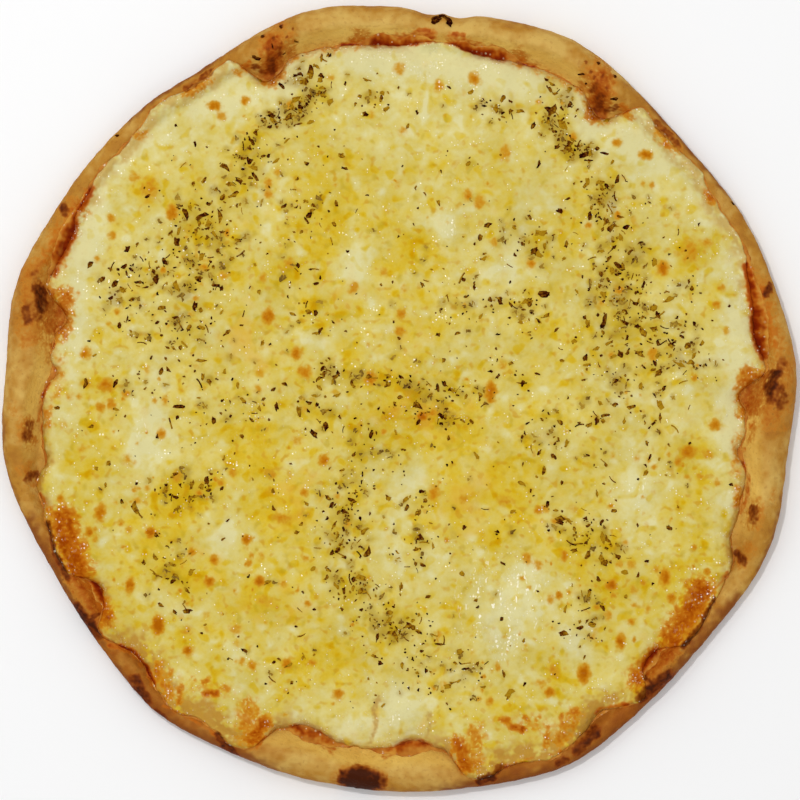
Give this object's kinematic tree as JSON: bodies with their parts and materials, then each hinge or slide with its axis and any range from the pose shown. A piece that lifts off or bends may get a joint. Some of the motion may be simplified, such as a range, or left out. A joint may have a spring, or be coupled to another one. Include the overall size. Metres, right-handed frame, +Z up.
{
  "type": "four cheese pizza",
  "caption": "Whole round pizza with a raised, browned and blistered rim, a thin tomato sauce layer and melted mixed cheese sprinkled with dried herbs.",
  "frame": {"origin": "middle of the bounding box's underside, on the flat bottom of the dough", "axes": "+Z up through the pizza, +Y towards the top edge of the picture, +X towards its right edge"},
  "size_m": [0.3198, 0.3162, 0.0176],
  "materials": {
    "crust": "baked bread dough, dry and matt, toasted golden tan with darker brown and charred spots",
    "tomato_sauce": "cooked tomato sauce, moist, deep red-brown",
    "cheese": "melted cheese, lightly oily, creamy white to golden yellow with toasted orange blisters and dark green-brown dried herb flakes"
  },
  "bodies": {
    "root": {"crust": "crust", "tomato_sauce": "tomato_sauce", "cheese": "cheese"}
  },
  "joints": []
}
